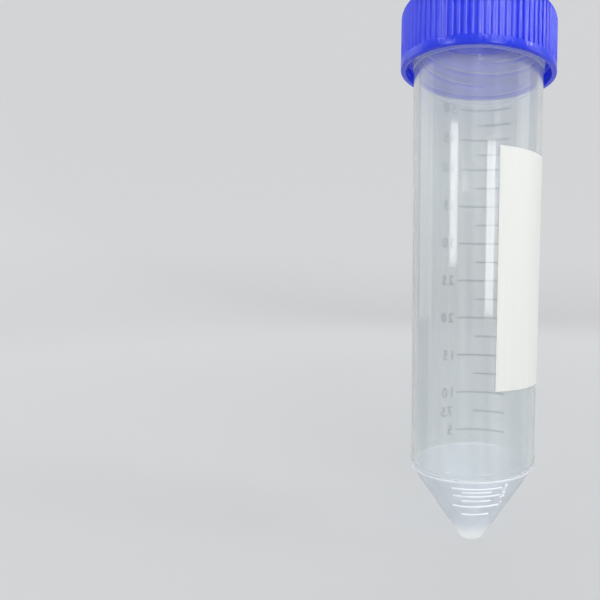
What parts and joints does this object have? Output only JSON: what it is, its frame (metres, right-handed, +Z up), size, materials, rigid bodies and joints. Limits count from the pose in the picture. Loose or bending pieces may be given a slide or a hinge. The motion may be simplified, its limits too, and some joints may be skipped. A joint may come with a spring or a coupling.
{
  "type": "conical centrifuge tube",
  "caption": "Tall translucent sample tube with a conical end, printed volume scale, white writing patch and a ribbed blue screw cap over a sealed mouth.",
  "frame": {"origin": "lowest point of the conical tip, on the tube's axis", "axes": "+Z up the tube's axis to the cap, -Y towards the reader of the raised marks on the cone, +X to that reader's right"},
  "size_m": [0.035, 0.035, 0.117],
  "materials": {
    "natural_polypropylene": "natural translucent moulding, satin inside",
    "blue_polyethylene": "satin moulding with fine vertical ribs",
    "seal_elastomer": "matt soft ring",
    "white_ink": "opaque screen print",
    "dark_ink": "thin screen print"
  },
  "bodies": {
    "tube": {"tube_body": "natural_polypropylene", "writing_patch": "white_ink", "scale_lines": "dark_ink", "scale_numerals": "dark_ink"},
    "seal": {"seal_ring": "seal_elastomer"},
    "cap": {"screw_cap": "blue_polyethylene"}
  },
  "joints": [
    {"name": "cap_lift", "type": "slide", "parent": "tube", "child": "seal", "axis": [0, 0, 1], "range_m": [0, 0.015]},
    {"name": "cap_turn", "type": "hinge", "parent": "seal", "child": "cap", "pos_m": [0, 0, 0.11], "axis": [0, 0, 1], "range_deg": [0, 900]}
  ],
  "couplings": [
    {"joint": "cap_lift", "follows": "cap_turn", "m_per_rad": 0.00095493}
  ]
}
